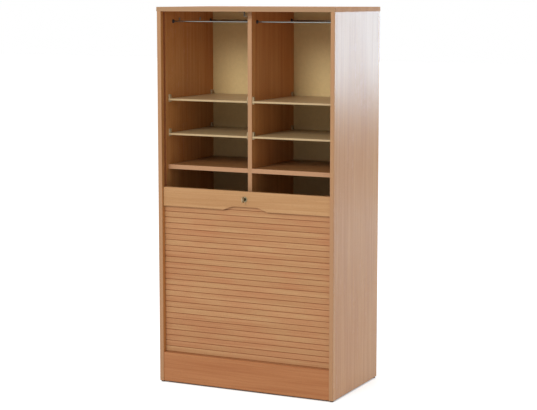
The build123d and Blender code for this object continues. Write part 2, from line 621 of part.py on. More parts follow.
def turned_up():
    """The cam as it stands when locked, its hook over the strike's lip."""
    z_tip = lock_height + CAM_REACH
    eye = at_lock(cam_front, cam_back, CAM_EYE_RADIUS)
    shank = block(CAM_SHANK_LEFT, CAM_SHANK_RIGHT, cam_front, cam_back, lock_height, z_tip)
    head = block(-CAM_HEAD_LEFT, CAM_SHANK_RIGHT, cam_front, cam_back, z_tip - CAM_HEAD_HEIGHT, z_tip)
    return eye + shank + head - at_lock(cam_front, cam_back, PLUG_RADIUS)


lock_line = Axis((0, y_front, lock_height), (0, 1, 0))
save(turned_up().rotate(lock_line, 90), "lock_cam")

blade_half_width = KEYWAY_WIDTH / 2 - KEY_CLEARANCE
blade_half_height = KEYWAY_HEIGHT / 2 - KEY_CLEARANCE
bow_back = barrel_front_depth - KEY_NECK
bow_front = bow_back - KEY_BOW_LENGTH
blade = block(-blade_half_width, blade_half_width, bow_back, barrel_front_depth + KEY_BLADE,
              lock_height - blade_half_height, lock_height + blade_half_height)
bow = block(-KEY_BOW_THICKNESS / 2, KEY_BOW_THICKNESS / 2, bow_front, bow_back,
            lock_height - KEY_BOW_HEIGHT / 2, lock_height + KEY_BOW_HEIGHT / 2)
bow = fillet(bow.edges().filter_by(Axis.X), KEY_BOW_LENGTH / 3)
ring_depth = bow_front + KEY_BOW_LENGTH / 3
ring_hole = rod(KEY_RING_HOLE_RADIUS, (-KEY_BOW_THICKNESS, ring_depth, lock_height),
                (KEY_BOW_THICKNESS, ring_depth, lock_height))
save(bow - ring_hole, "key_bow")
save(blade, "key_blade")

# ---- Strike under the top, which the cam hooks over when the curtain is closed ---------------------------
closed_axis = lock_height + close_travel
lip_top = closed_axis + CAM_REACH - CAM_HEAD_HEIGHT - STRIKE_LIP_CLEARANCE
leg_right = -CAM_HEAD_LEFT - STRIKE_LEG_CLEARANCE
leg_left = leg_right - STRIKE_SHEET
strike_front = cam_front - (STRIKE_DEPTH - CAM_THICKNESS) / 2
strike_back = strike_front + STRIKE_DEPTH
lip_bottom = lip_top - STRIKE_SHEET
flange_left = leg_left - STRIKE_FLANGE
strike = block(leg_left, leg_right, strike_front, strike_back, lip_bottom, top_under)
strike += block(leg_left, 0, strike_front, strike_back, lip_bottom, lip_top)
strike += block(flange_left, leg_right, strike_front, strike_back, top_under - STRIKE_SHEET, top_under)
strike_screws = []
for share in (0.3, 0.7):
    x = flange_left + share * STRIKE_FLANGE
    depth = (strike_front + strike_back) / 2
    head_z = top_under - STRIKE_SHEET
    strike_screws.append(rod(STRIKE_SCREW_RADIUS, (x, depth, head_z),
                             (x, depth, head_z + STRIKE_SCREW_LENGTH)))
save(strike - strike_screws, "strike")
save(group(strike_screws), "strike_screws")

# ---- Top panel and the remaining fasteners ---------------------------------------------------------------
top_panel = block(-WIDTH / 2, WIDTH / 2, 0, DEPTH, top_under, HEIGHT)
top_panel = soften(top_panel, EDGE_ROUND, lambda edge: edge.bounding_box().max.Z > HEIGHT - 1e-3)
top_cuts = [pocket for side in (-1, 1) for _, _, pocket in top_cams[side]] + strike_screws
top_cuts += [hole for _, hole in side_dowels[-1] + side_dowels[1] + divider_dowels]
save(top_panel - top_cuts, "top_panel")

all_cams = floor_cams + shelf_cams[-1] + shelf_cams[1] + top_cams[-1] + top_cams[1]
save(group(disc for disc, _, _ in all_cams), "cam_discs")
save(group(bolt for _, bolt, _ in all_cams), "cam_bolts")
all_dowels = side_dowels[-1] + side_dowels[1] + plinth_dowels[-1] + plinth_dowels[1] + divider_dowels
save(group(pin for pin, _ in all_dowels), "dowels")

print("close travel", round(close_travel, 2), "open travel", round(open_travel, 2))
print("reserve bottom", round(reserve_top - reserve_count * SLAT_PITCH, 2), "top", round(reserve_top, 2),
      "count", reserve_count, "per group", per_reserve_group)
print("lock height", round(lock_height, 2), "front y", round(y_front, 2))
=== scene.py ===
"""Roll front cabinet: its finishes, slats, fittings, camera and studio, made around the fixed frame."""
import json
import math

import bpy
import numpy as np
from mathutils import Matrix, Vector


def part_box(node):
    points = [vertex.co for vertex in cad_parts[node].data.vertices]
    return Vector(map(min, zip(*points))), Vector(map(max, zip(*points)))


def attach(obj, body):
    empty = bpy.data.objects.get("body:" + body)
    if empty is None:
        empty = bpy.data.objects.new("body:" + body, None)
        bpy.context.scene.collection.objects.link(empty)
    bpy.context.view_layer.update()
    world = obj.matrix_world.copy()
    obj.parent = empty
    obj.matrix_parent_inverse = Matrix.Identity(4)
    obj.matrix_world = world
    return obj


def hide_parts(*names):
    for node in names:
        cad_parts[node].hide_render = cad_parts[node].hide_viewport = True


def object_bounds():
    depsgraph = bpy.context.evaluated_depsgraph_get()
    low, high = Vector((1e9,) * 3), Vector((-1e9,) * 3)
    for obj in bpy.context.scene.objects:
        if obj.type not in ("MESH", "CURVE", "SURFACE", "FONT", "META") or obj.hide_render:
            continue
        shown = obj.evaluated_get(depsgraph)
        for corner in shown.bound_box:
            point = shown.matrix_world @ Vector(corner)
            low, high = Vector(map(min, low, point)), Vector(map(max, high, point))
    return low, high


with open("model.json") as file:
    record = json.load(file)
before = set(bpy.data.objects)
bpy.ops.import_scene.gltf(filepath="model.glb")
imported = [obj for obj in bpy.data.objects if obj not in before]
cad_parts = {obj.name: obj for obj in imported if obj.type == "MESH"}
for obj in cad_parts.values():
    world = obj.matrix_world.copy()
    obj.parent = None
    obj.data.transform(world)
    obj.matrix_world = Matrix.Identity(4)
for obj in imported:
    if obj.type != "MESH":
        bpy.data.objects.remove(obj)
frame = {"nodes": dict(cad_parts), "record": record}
CAD_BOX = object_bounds()

bl_info = {
    "name": "Roll Front Cabinet",
    "version": (1, 0, 0),
    "blender": (4, 5, 0),
    "location": "3D View > Sidebar > Cabinet",
    "description": "Beech faced roll front cabinet with slats, lock and file rails",
    "category": "Object",
}

BODIES = frame["record"]["behaviour"]["bodies"]
BODY_OF = {node: body for body, nodes in BODIES.items() for node in nodes}
FRONT_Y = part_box("side_left")[0].y
MM = 0.001


def linear(red, green, blue):
    """A screen colour from 0 to 255 as scene linear numbers, by the sRGB curve."""
    level = np.array((red, green, blue)) / 255
    return tuple(np.where(level <= 0.04045, level / 12.92, ((level + 0.055) / 1.055) ** 2.4).tolist())


# ---- Settings ------------------------------------------------------------------------------------
def length(name, description, default):
    """A length setting in metres."""
    return bpy.props.FloatProperty(name=name, description=description, default=default,
                                   min=0, unit="LENGTH", precision=5)


def colour(name, description, default):
    """A colour setting, given as a screen colour."""
    return bpy.props.FloatVectorProperty(name=name, description=description, default=linear(*default),
                                         min=0, max=1, size=3, subtype="COLOR")


def position(name, description, default):
    """A place setting in metres."""
    return bpy.props.FloatVectorProperty(name=name, description=description, size=3, default=default,
                                         subtype="TRANSLATION")


def amount(name, description, default, top=1.0):
    """A plain number setting."""
    return bpy.props.FloatProperty(name=name, description=description, default=default, min=0, max=top)


class CurtainSettings(bpy.types.PropertyGroup):
    """Sizes of the slatted curtain."""
    pitch: length("Slat pitch", "Height of one slat with its gap", 23.8 * MM)
    gap: length("Slat gap", "Open joint between two slats", 0.4 * MM)
    nose: length("Nose radius", "Rounding of a slat's front edges", 1.5 * MM)
    heel: length("Heel radius", "Rounding of a slat's rear edges", 0.6 * MM)
    crown: length("Crown", "Swell of a slat's face between its edges", 0.25 * MM)


class FittingSettings(bpy.types.PropertyGroup):
    """Sizes of the moulded and metal fittings."""
    cup_radius: length("Cup radius", "Foot of a rail cup", 8.0 * MM)
    cup_depth: length("Cup depth", "Rail cup from the board to its lip", 6.0 * MM)
    cup_floor: length("Cup floor", "Cup between the board and the rail's end", 1.5 * MM)
    clip_gap: length("Clip gap", "Shelf end to the board's face", 2.0 * MM)
    clip_inset: length("Clip inset", "Clip's middle from the shelf's edge", 12.0 * MM)
    clip_reach: length("Clip reach", "Clip over the shelf, from the board", 7.0 * MM)
    clip_width: length("Clip width", "Clip along the board", 14.0 * MM)
    clip_web: length("Clip web", "Clip's back against the board", 1.7 * MM)
    clip_foot: length("Clip foot", "Lower jaw under the shelf", 5.0 * MM)
    clip_rise: length("Clip rise", "Upper jaw over the shelf", 17.0 * MM)
    peg: length("Peg radius", "Clip's peg in the board", 2.5 * MM)
    peg_length: length("Peg length", "Clip's peg in the board", 8.0 * MM)
    screw_head: length("Screw head radius", "Rear panel's screws", 3.5 * MM)
    screw_head_depth: length("Screw head depth", "Rear panel's screws", 1.6 * MM)
    screw_shank: length("Screw shank radius", "Rear panel's screws", 1.75 * MM)
    screw_rows: bpy.props.IntProperty(name="Screw rows", description="Rear panel's rows of screws",
                                      default=5, min=2)
    glide_radius: length("Glide radius", "Glides under the sides", 8.0 * MM)
    glide_nail: length("Glide nail radius", "Nail of a glide", 1.5 * MM)
    strike_sheet: length("Strike sheet", "Thickness of the strike", 2.0 * MM)
    strike_leg: length("Strike lip", "Length of the strike's lip past its leg", 11.5 * MM)


class LockSettings(bpy.types.PropertyGroup):
    """Sizes of the lock and its key."""
    bore: length("Bore radius", "Barrel's bore for the plug", 6.55 * MM)
    body: length("Body radius", "Barrel behind its flange", 9.5 * MM)
    flange: length("Flange", "Thickness of the barrel's flange", 1.5 * MM)
    thread: length("Thread pitch", "Thread on the barrel", 1.25 * MM)
    ring_hole: length("Ring hole radius", "Hole in the key's bow", 2.8 * MM)
    bow_power: bpy.props.FloatProperty(name="Bow fullness", description="2 is an oval, more is squarer",
                                       default=2.6, min=2, max=8)
    groove: length("Key groove", "Depth of the groove along the blade", 0.5 * MM)
    cut_pitch: length("Cut pitch", "Distance between the key's cuts", 2.7 * MM)
    cuts: bpy.props.FloatVectorProperty(name="Cut depths", description="Depth of the key's cuts in mm",
                                        size=5, default=(1.2, 2.2, 0.8, 1.8, 1.0), min=0, max=3)
    bitten: bpy.props.FloatProperty(name="Cut share", description="Share of the blade that has cuts",
                                    default=0.72, min=0, max=1)


class FinishSettings(bpy.types.PropertyGroup):
    """Colours of the boards and the fittings."""
    side: colour("Side", "Light tone of the sides and the divider", (208, 151, 92))
    side_dark: colour("Side, dark", "Dark tone of the sides and the divider", (185, 119, 63))
    edge: colour("Edge band", "Front edge banding of the sides and the divider", (171, 130, 95))
    # Painted shade: a darker copy of the edge band for the top, against the light its rounded front
    # catches.
    top_edge_painted_shade: colour("Top's edge band", "Front edge banding of the top", (161, 129, 99))
    # Painted light: a lighter copy of the edge band for the fixed shelves, to make up for the shade of
    # their recess.
    shelf_edge_painted_light: colour("Shelves' edge band", "Front edge banding of the fixed shelves", (184, 140, 104))
    # Painted shade: the fixed shelves and the floor panel get a darker copy of the boards' beech, for the
    # shade inside the bays.
    shelf: colour("Shelf", "Light tone of the fixed shelves", (158, 114, 72))
    shelf_dark: colour("Shelf, dark", "Dark tone of the fixed shelves", (141, 93, 53))
    plinth: colour("Plinth", "Light tone of the plinth", (183, 125, 79))
    plinth_dark: colour("Plinth, dark", "Dark tone of the plinth", (163, 101, 58))
    slat: colour("Slat", "Light tone of the slats", (191, 145, 102))
    slat_dark: colour("Slat, dark", "Dark tone of the slats", (173, 121, 81))
    lead: colour("Lead board", "Light tone of the lead board", (193, 149, 103))
    lead_dark: colour("Lead board, dark", "Dark tone of the lead board", (173, 126, 80))
    thin: colour("Thin shelf", "Laminate of the thin shelves", (186, 160, 118))
    rear: colour("Rear panel", "Face of the rear panel", (216, 190, 132))
    rear_back: colour("Rear panel's back", "Outer face of the rear panel", (196, 162, 118))
    dowel: colour("Dowel", "Light tone of the dowels", (214, 184, 140))
    dowel_dark: colour("Dowel, dark", "Dark tone of the dowels", (196, 160, 114))
    # Painted shade: the colour laid in the seams between slats.
    joint: colour("Slat joint", "Shade between two slats", (138, 68, 22))
    glue: colour("Glue line", "Line behind an edge band", (96, 62, 38))
    fibre: colour("Fibre", "Specks in laminate and hardboard", (84, 62, 38))
    track: colour("Track", "Plastic of the tracks", (176, 108, 62))
    cup: colour("Cup", "Plastic of the rail cups and the glides", (26, 26, 27))
    clip: colour("Clip", "Plastic of the shelf clips", (172, 152, 116))
    rail: colour("Rail", "Plating of the file rails", (146, 152, 150))
    cam: colour("Cam", "Zinc of the board fasteners", (160, 161, 163))
    screw: colour("Screw", "Zinc of the screws", (186, 184, 172))
    strike: colour("Strike", "Zinc of the strike and the lock's nut and cam", (116, 114, 106))
    barrel: colour("Barrel", "Plating of the lock's barrel", (154, 145, 118))
    # Painted shade: the plug is dark all over, for the shade in its keyway.
    plug: colour("Plug", "Nickel of the lock's plug", (64, 55, 36))
    nickel: colour("Key", "Nickel of the key", (186, 176, 148))


class StageSettings(bpy.types.PropertyGroup):
    """Camera and light."""
    camera: position("Camera", "Place of the camera", (2.8030, -5.7605, 1.6117))
    turn: bpy.props.FloatProperty(name="Turn", description="Camera turned left from straight ahead",
                                  default=math.radians(25.927), subtype="ANGLE")
    dip: bpy.props.FloatProperty(name="Dip", description="Camera tipped down", subtype="ANGLE",
                                 default=math.radians(7.674))
    lens: amount("Lens", "Focal length in millimetres", 103.71, 500)
    sky: amount("Room light", "Strength of the even light from all round", 0.57, 10)
    glow: amount("Floor glow", "White that the floor adds where it is seen", 0.56)
    key: amount("Main light", "Power of the soft box in front, in watts", 149.0, 5000)
    key_place: position("Main light's place", "Soft box in front", (-0.7, -4.9, 3.5))
    key_aim: position("Main light's aim", "Point that the soft box in front faces", (0, 0, 0.8))
    key_size: length("Main light's size", "Side of the soft box in front", 1.7)
    sheen: amount("Side light", "Power of the soft box behind the right side, in watts", 134.0, 5000)
    sheen_place: position("Side light's place", "Soft box behind the right side", (2.9, 5.8, 2.05))
    sheen_aim: position("Side light's aim", "Point that the side's soft box faces", (0.4, 0, 1.3))
    sheen_size: length("Side light's size", "Side of the side's soft box", 2.6)
    sheen_tint: bpy.props.FloatVectorProperty(name="Side light's tint", description="Cool daylight",
                                              size=3, default=(0.64, 0.9, 1.1), min=0, max=2)


# ---- Surfaces ------------------------------------------------------------------------------------
def rounded(corners, radii, steps=4):
    """A closed outline with round corners. On each corner's arc, the centre lies on the corner's
    bisector at radius / sin(half angle), and the points turn evenly between the two tangents."""
    corners = np.asarray(corners, float)
    radii = np.broadcast_to(radii, len(corners))
    pieces = []
    for k, radius in enumerate(radii):
        here = corners[k]
        back = corners[k - 1] - here
        ahead = corners[(k + 1) % len(corners)] - here
        back /= np.linalg.norm(back)
        ahead /= np.linalg.norm(ahead)
        half = math.acos(float(np.clip(back @ ahead, -1, 1))) / 2
        middle = (back + ahead) / np.linalg.norm(back + ahead)
        centre = here + middle * radius / math.sin(half)
        start = here + back * radius / math.tan(half) - centre
        end = here + ahead * radius / math.tan(half) - centre
        blend = np.linspace(0, 1, steps + 1)[:, None]
        sweep = math.pi - 2 * half
        arc = (np.sin((1 - blend) * sweep) * start + np.sin(blend * sweep) * end) / math.sin(sweep)
        pieces.append(centre + arc)
    return np.concatenate(pieces)


class Shell:
    """Gathers closed surfaces into one mesh."""

    def __init__(self):
        self.points = []
        self.faces = []
        self.count = 0

    def tube(self, rings, closed=False):
        """Adds a grid of rings x points x 3. Each point joins its neighbours on its own ring, which
        closes on itself, and the same point of the next ring. The two ends get flat faces, or the
        last ring joins the first where closed. The enclosed volume, a sixth of the sum of every
        triangle's triple product, is made positive, so faces point outwards."""
        rows, columns = rings.shape[:2]
        index = np.arange(rows * columns).reshape(rows, columns)
        ahead = np.roll(index, -1, axis=0) if closed else index[1:]
        here = index if closed else index[:-1]
        quads = np.stack([here, np.roll(here, -1, 1), np.roll(ahead, -1, 1), ahead], -1).reshape(-1, 4)
        ends = [] if closed else [index[0][::-1], index[-1]]
        fans = [np.stack([np.full(columns - 2, end[0]), end[1:-1], end[2:]], -1) for end in ends]
        triangles = np.concatenate([quads[:, (0, 1, 2)], quads[:, (0, 2, 3)], *fans])
        points = rings.reshape(-1, 3)
        a, b, c = (points[triangles[:, k]] for k in range(3))
        way = 1 if np.einsum("ij,ij->", a - points[0], np.cross(b - points[0], c - points[0])) > 0 else -1
        self.faces += (quads[:, ::way] + self.count).tolist()
        self.faces += [(end[::way] + self.count).tolist() for end in ends]
        self.points.append(points)
        self.count += len(points)

    def build(self, name, body, material, replaced=(), sharp=38):
        """The mesh as an object at the origin that rides on its body."""
        mesh = bpy.data.meshes.new(name)
        mesh.from_pydata(np.concatenate(self.points), [], self.faces)
        mesh.validate()
        mesh.shade_smooth()
        mesh.set_sharp_from_angle(angle=math.radians(sharp))
        mesh.materials.append(material)
        piece = bpy.data.objects.new(name, mesh)
        bpy.context.scene.collection.objects.link(piece)
        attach(piece, body)
        if replaced:
            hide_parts(*replaced)
        return piece


def carried(outline, stations, across="X"):
    """An outline carried straight along an axis: every station's ring is the outline, with the
    station as its third coordinate. The outline is (Y, Z) along X, and (X, Z) along Y."""
    stations = np.asarray(stations, float)
    rings = np.empty((len(stations), len(outline), 3))
    order = {"X": (0, 1, 2), "Y": (1, 0, 2)}[across]
    rings[..., order[0]] = stations[:, None]
    rings[..., order[1]] = outline[:, 0]
    rings[..., order[2]] = outline[:, 1]
    return rings


def turned(profile, centre, axis, sides=48, hollow=False):
    """A profile of (radius, distance along the axis) turned about the axis: centre + distance times
    the axis + radius times (cosine, sine) in the plane across it. A solid one gives a ring for each
    profile point; a hollow one, whose profile is a closed loop, gives a copy for each angle."""
    profile = np.asarray(profile, float)
    axis = np.asarray(axis, float)
    first = np.cross(axis, (0.0, 0.0, 1.0) if abs(axis[2]) < 0.9 else (1.0, 0.0, 0.0))
    first /= np.linalg.norm(first)
    second = np.cross(axis, first)
    angle = np.linspace(0, 2 * math.pi, sides, endpoint=False)
    spoke = np.cos(angle)[:, None] * first + np.sin(angle)[:, None] * second
    grid = (np.asarray(centre, float) + profile[:, None, 1:] * axis
            + profile[:, None, :1] * spoke[None])
    return grid.transpose(1, 0, 2) if hollow else grid


# ---- Node wiring ---------------------------------------------------------------------------------
# Noise scales are in waves per metre, so a larger scale is a finer pattern.
class Wires:
    """Adds nodes and links to one node tree."""

    def __init__(self, tree):
        self.tree = tree

    def add(self, kind, inputs=None, **settings):
        """A node whose inputs are given as values or as other nodes' sockets."""
        node = self.tree.nodes.new(kind)
        for key, value in settings.items():
            setattr(node, key, value)
        self.feed(node, inputs or {})
        return node

    def feed(self, node, inputs):
        """Gives a node's inputs plain values or other nodes' sockets."""
        for key, value in inputs.items():
            if isinstance(value, bpy.types.NodeSocket):
                self.tree.links.new(value, node.inputs[key])
            else:
                node.inputs[key].default_value = value

    def math(self, operation, *values, clamp=False):
        """A number worked out from others."""
        node = self.add("ShaderNodeMath", dict(enumerate(values)), operation=operation, use_clamp=clamp)
        return node.outputs[0]

    def mix(self, factor, first, second, blend="MIX"):
        """A colour between two others."""
        return self.add("ShaderNodeMix", {0: factor, 6: first, 7: second}, data_type="RGBA",
                        blend_type=blend).outputs[2]

    def ramp(self, value, low, high, new_low=0.0, new_high=1.0):
        """A number carried smoothly from one range to another."""
        node = self.add("ShaderNodeMapRange", {"Value": value, 1: low, 2: high, 3: new_low, 4: new_high},
                        interpolation_type="SMOOTHSTEP")
        return node.outputs[0]

    def stretch(self, vector, scale):
        """A vector scaled along each axis."""
        return self.add("ShaderNodeMapping", {"Vector": vector, "Scale": scale}).outputs[0]

    def noise(self, vector, scale, detail=2.0, rough=0.5):
        """Cloudy noise from 0 to 1."""
        return self.add("ShaderNodeTexNoise", {"Vector": vector, "Scale": scale, "Detail": detail,
                                               "Roughness": rough}).outputs[0]


def effect(name, inputs, outputs):
    """A new shader node group with its sockets, as (group, wires, input node, output node)."""
    group = bpy.data.node_groups.new(name, "ShaderNodeTree")
    kinds = {"value": "NodeSocketFloat", "colour": "NodeSocketColor", "vector": "NodeSocketVector"}
    for label, kind, default in inputs:
        socket = group.interface.new_socket(name=label, in_out="INPUT", socket_type=kinds[kind])
        if default is not None:
            socket.default_value = default
    for label, kind in outputs:
        group.interface.new_socket(name=label, in_out="OUTPUT", socket_type=kinds[kind])
    wires = Wires(group)
    return group, wires, wires.add("NodeGroupInput"), wires.add("NodeGroupOutput")


def figure_effect():
    """Beech figure with the grain along Z: slow bands, fine streaks and short flecks."""
    group, wires, given, out = effect(
        "Beech Figure",
        [("Vector", "vector", None), ("Light", "colour", (0.6, 0.4, 0.25, 1)),
         ("Dark", "colour", (0.5, 0.3, 0.17, 1)), ("Fleck", "value", 0.35)],
        [("Color", "colour"), ("Height", "value"), ("Matt", "value")])
    vector = given.outputs["Vector"]
    drift = wires.add("ShaderNodeTexNoise", {"Vector": wires.stretch(vector, (1, 1, 0.35)), "Scale": 4.0,
                                             "Detail": 1.0}).outputs[1]
    moved = wires.add("ShaderNodeVectorMath", {0: drift, 1: (0.016, 0.016, 0.0), 2: vector},
                      operation="MULTIPLY_ADD").outputs[0]
    bands = wires.noise(wires.stretch(moved, (1, 1, 0.03)), 42.0, 3.0, 0.55)
    streaks = wires.noise(wires.stretch(moved, (1, 1, 0.012)), 210.0, 3.0, 0.6)
    flecks = wires.ramp(wires.noise(wires.stretch(moved, (1, 1, 0.17)), 1250.0, 0.0), 0.6, 0.72)
    patches = wires.ramp(wires.noise(wires.stretch(vector, (1, 1, 0.4)), 5.0, 1.0), 0.3, 0.7)
    slow = wires.math("MULTIPLY_ADD", wires.ramp(bands, 0.32, 0.68), 0.46,
                      wires.math("MULTIPLY", patches, 0.16))
    fine = wires.math("MULTIPLY", wires.ramp(streaks, 0.34, 0.66), 0.4)
    depth = wires.math("ADD", slow, fine, clamp=True)
    plain = wires.mix(depth, given.outputs["Light"], given.outputs["Dark"])
    deep = wires.mix(0.5, given.outputs["Dark"], (0.16, 0.07, 0.03, 1))
    speck = wires.math("MULTIPLY", flecks, given.outputs["Fleck"])
    height = wires.math("SUBTRACT", wires.math("MULTIPLY", streaks, 0.5), speck)
    matt = wires.math("MULTIPLY_ADD", streaks, 0.07, wires.math("MULTIPLY", patches, 0.02))
    wires.feed(out, {"Color": wires.mix(speck, plain, deep), "Height": height, "Matt": matt})
    return group


def slat_effect():
    """Gives every slat a tone and a piece of grain of its own, and masks the seams for painted shade.
    A slat's number is its height from the start in whole pitches, and the shade mask rises near the
    pitch's ends."""
    group, wires, given, out = effect(
        "Slat Tone",
        [("Vector", "vector", None), ("Start", "value", 0.0), ("Pitch", "value", 24 * MM)],
        [("Vector", "vector"), ("Tone", "value"), ("Joint Shade", "value")])
    z = wires.add("ShaderNodeSeparateXYZ", {0: given.outputs["Vector"]}).outputs["Z"]
    row = wires.math("DIVIDE", wires.math("SUBTRACT", z, given.outputs["Start"]), given.outputs["Pitch"])
    number = wires.math("FLOOR", row)
    within = wires.math("FRACT", row)
    chance = wires.add("ShaderNodeTexWhiteNoise", {"W": number}, noise_dimensions="1D")
    shift = wires.add("ShaderNodeVectorMath", {0: chance.outputs["Color"], 1: (3.0, 1.0, 0.0),
                                               2: given.outputs["Vector"]}, operation="MULTIPLY_ADD")
    from_middle = wires.math("ABSOLUTE", wires.math("SUBTRACT", within, 0.5))
    along = wires.noise(wires.stretch(shift.outputs[0], (1, 0.4, 0.4)), 6.5, 2.0)
    tone = wires.math("MULTIPLY_ADD", wires.ramp(along, 0.36, 0.64), 0.7,
                      wires.math("MULTIPLY", chance.outputs["Value"], 0.3))
    wires.feed(out, {"Vector": shift.outputs[0], "Tone": tone,
                     "Joint Shade": wires.ramp(from_middle, 0.425, 0.49)})
    return group


def band_effect():
    """Edge banding on the faces that look to the front or rear, with its glue line."""
    group, wires, given, out = effect(
        "Edge Band",
        [("Vector", "vector", None), ("Normal", "vector", None), ("Front", "value", 0.0),
         ("Thickness", "value", 1.1 * MM)],
        [("Band", "value"), ("Line", "value")])
    y = wires.add("ShaderNodeSeparateXYZ", {0: given.outputs["Vector"]}).outputs["Y"]
    facing = wires.add("ShaderNodeSeparateXYZ", {0: given.outputs["Normal"]}).outputs["Y"]
    behind = wires.math("SUBTRACT", y, given.outputs["Front"])
    inside = wires.math("LESS_THAN", behind, given.outputs["Thickness"])
    face = wires.ramp(wires.math("ABSOLUTE", facing), 0.55, 0.8)
    off = wires.math("ABSOLUTE", wires.math("SUBTRACT", behind, given.outputs["Thickness"]))
    wires.feed(out, {"Band": wires.math("MAXIMUM", inside, face),
                     "Line": wires.math("LESS_THAN", off, 0.12 * MM)})
    return group


def handling_effect():
    """Soft smudges and fine scuffs that change the gloss."""
    group, wires, given, out = effect(
        "Handling Marks",
        [("Vector", "vector", None), ("Gloss", "value", 0.4), ("Amount", "value", 0.08)],
        [("Roughness", "value"), ("Height", "value")])
    vector = given.outputs["Vector"]
    smudge = wires.ramp(wires.noise(vector, 7.0, 4.0, 0.6), 0.35, 0.7, -0.5, 0.5)
    scuff = wires.ramp(wires.noise(wires.stretch(vector, (1, 6, 1)), 160.0, 2.0), 0.58, 0.72, 0.0, 0.6)
    both = wires.math("ADD", smudge, scuff)
    rough = wires.math("MULTIPLY_ADD", both, given.outputs["Amount"], given.outputs["Gloss"])
    wires.feed(out, {"Roughness": rough, "Height": wires.noise(vector, 900.0, 2.0)})
    return group


EFFECTS = {}


def placed(wires, name, inputs):
    """A shared effect placed in a material, built the first time it is asked for."""
    makers = {"figure": figure_effect, "slat": slat_effect, "band": band_effect,
              "handling": handling_effect}
    if name not in EFFECTS:
        EFFECTS[name] = makers[name]()
    return wires.add("ShaderNodeGroup", inputs, node_tree=EFFECTS[name])


def surface(name):
    """An empty material with its wires, its shader and its object coordinates."""
    material = bpy.data.materials.new(name)
    material.use_nodes = True
    wires = Wires(material.node_tree)
    shader = material.node_tree.nodes["Principled BSDF"]
    coordinates = wires.add("ShaderNodeTexCoord")
    return material, wires, shader, coordinates


def shared(name, maker, *values):
    """A material that several steps use, made by the first of them."""
    return bpy.data.materials.get(name) or maker(name, *values)


def bump(wires, shader, height, strength, distance):
    """Relief on a shader from a height."""
    relief = wires.add("ShaderNodeBump", {"Height": height, "Strength": strength, "Distance": distance})
    wires.feed(shader, {"Normal": relief.outputs[0]})


GRAIN_TURN = {"Z": (0, 0, 0), "X": (0, math.pi / 2, 0), "Y": (math.pi / 2, 0, 0)}


def beech(name, light, dark, grain, front=None, edge=None, place=(0, 0, 0), gloss=0.36, fleck=0.35,
          start=None, pitch=0.0, shine=0.3, smudge=0.06):
    """Satin beech. Grain runs along the named axis. With a front, its banded edge has the edge colour;
    with a start and a pitch, every slat has a tone of its own."""
    tones = settings().finish
    material, wires, shader, coordinates = surface(name)
    vector = coordinates.outputs["Object"]
    if start is not None:
        slat = placed(wires, "slat", {"Vector": vector, "Start": start, "Pitch": pitch})
        vector = slat.outputs["Vector"]
    laid = wires.add("ShaderNodeMapping", {"Vector": vector, "Rotation": GRAIN_TURN[grain],
                                           "Location": place}).outputs[0]
    figure = placed(wires, "figure", {"Vector": laid, "Light": (*light, 1), "Dark": (*dark, 1),
                                      "Fleck": fleck})
    tint = figure.outputs["Color"]
    if start is not None:
        warm = wires.mix(slat.outputs["Tone"], (1.01, 1.06, 1.04, 1), (1.0, 0.92, 0.9, 1))
        tint = wires.mix(1.0, tint, warm, "MULTIPLY")
        # Painted shade: the seams between slats get a dark warm colour, on top of the real groove's own
        # shade.
        tint = wires.mix(slat.outputs["Joint Shade"], tint, (*tones.joint, 1))
    if front is not None:
        band = placed(wires, "band", {"Vector": coordinates.outputs["Object"], "Front": front,
                                      "Normal": coordinates.outputs["Normal"]})
        tint = wires.mix(wires.math("MULTIPLY", band.outputs["Band"], 0.88), tint, (*edge, 1))
        tint = wires.mix(wires.math("MULTIPLY", band.outputs["Line"], 0.6), tint, (*tones.glue, 1))
    marks = placed(wires, "handling", {"Vector": coordinates.outputs["Object"], "Gloss": gloss,
                                       "Amount": smudge})
    rough = wires.math("ADD", marks.outputs["Roughness"], figure.outputs["Matt"])
    wires.feed(shader, {"Base Color": tint, "Roughness": rough, "Specular IOR Level": shine})
    bump(wires, shader, figure.outputs["Height"], 0.35, 0.2 * MM)
    return material


def pressed_board(name, base, gloss, mottle, speck, back=None):
    """Laminate or hardboard with a faint mottle and fine dark specks. With a back, its faces that look
    to the rear have that colour."""
    material, wires, shader, coordinates = surface(name)
    vector = coordinates.outputs["Object"]
    cloud = wires.ramp(wires.noise(vector, 60.0, 4.0, 0.6), 0.3, 0.7)
    specks = wires.ramp(wires.noise(vector, 900.0, 1.0), 0.64, 0.74)
    darker = tuple(part * (1 - mottle) for part in base)
    tint = wires.mix(cloud, (*base, 1), (*darker, 1))
    if back is not None:
        facing = wires.add("ShaderNodeSeparateXYZ", {0: coordinates.outputs["Normal"]}).outputs["Y"]
        raw = wires.mix(cloud, (*back, 1), (*(part * (1 - 2 * mottle) for part in back), 1))
        tint = wires.mix(wires.math("GREATER_THAN", facing, 0.5), tint, raw)
    tint = wires.mix(wires.math("MULTIPLY", specks, speck), tint, (*settings().finish.fibre, 1))
    marks = placed(wires, "handling", {"Vector": vector, "Gloss": gloss, "Amount": 0.06})
    wires.feed(shader, {"Base Color": tint, "Roughness": marks.outputs["Roughness"]})
    bump(wires, shader, marks.outputs["Height"], 0.12, 0.2 * MM)
    return material


def moulded(name, base, gloss):
    """Moulded plastic with a fine texture."""
    material, wires, shader, coordinates = surface(name)
    vector = coordinates.outputs["Object"]
    cloud = wires.ramp(wires.noise(vector, 90.0, 2.0), 0.3, 0.7)
    tint = wires.mix(cloud, (*base, 1), (*(part * 0.88 for part in base), 1))
    marks = placed(wires, "handling", {"Vector": vector, "Gloss": gloss})
    wires.feed(shader, {"Base Color": tint, "Roughness": marks.outputs["Roughness"]})
    bump(wires, shader, marks.outputs["Height"], 0.1, 0.1 * MM)
    return material


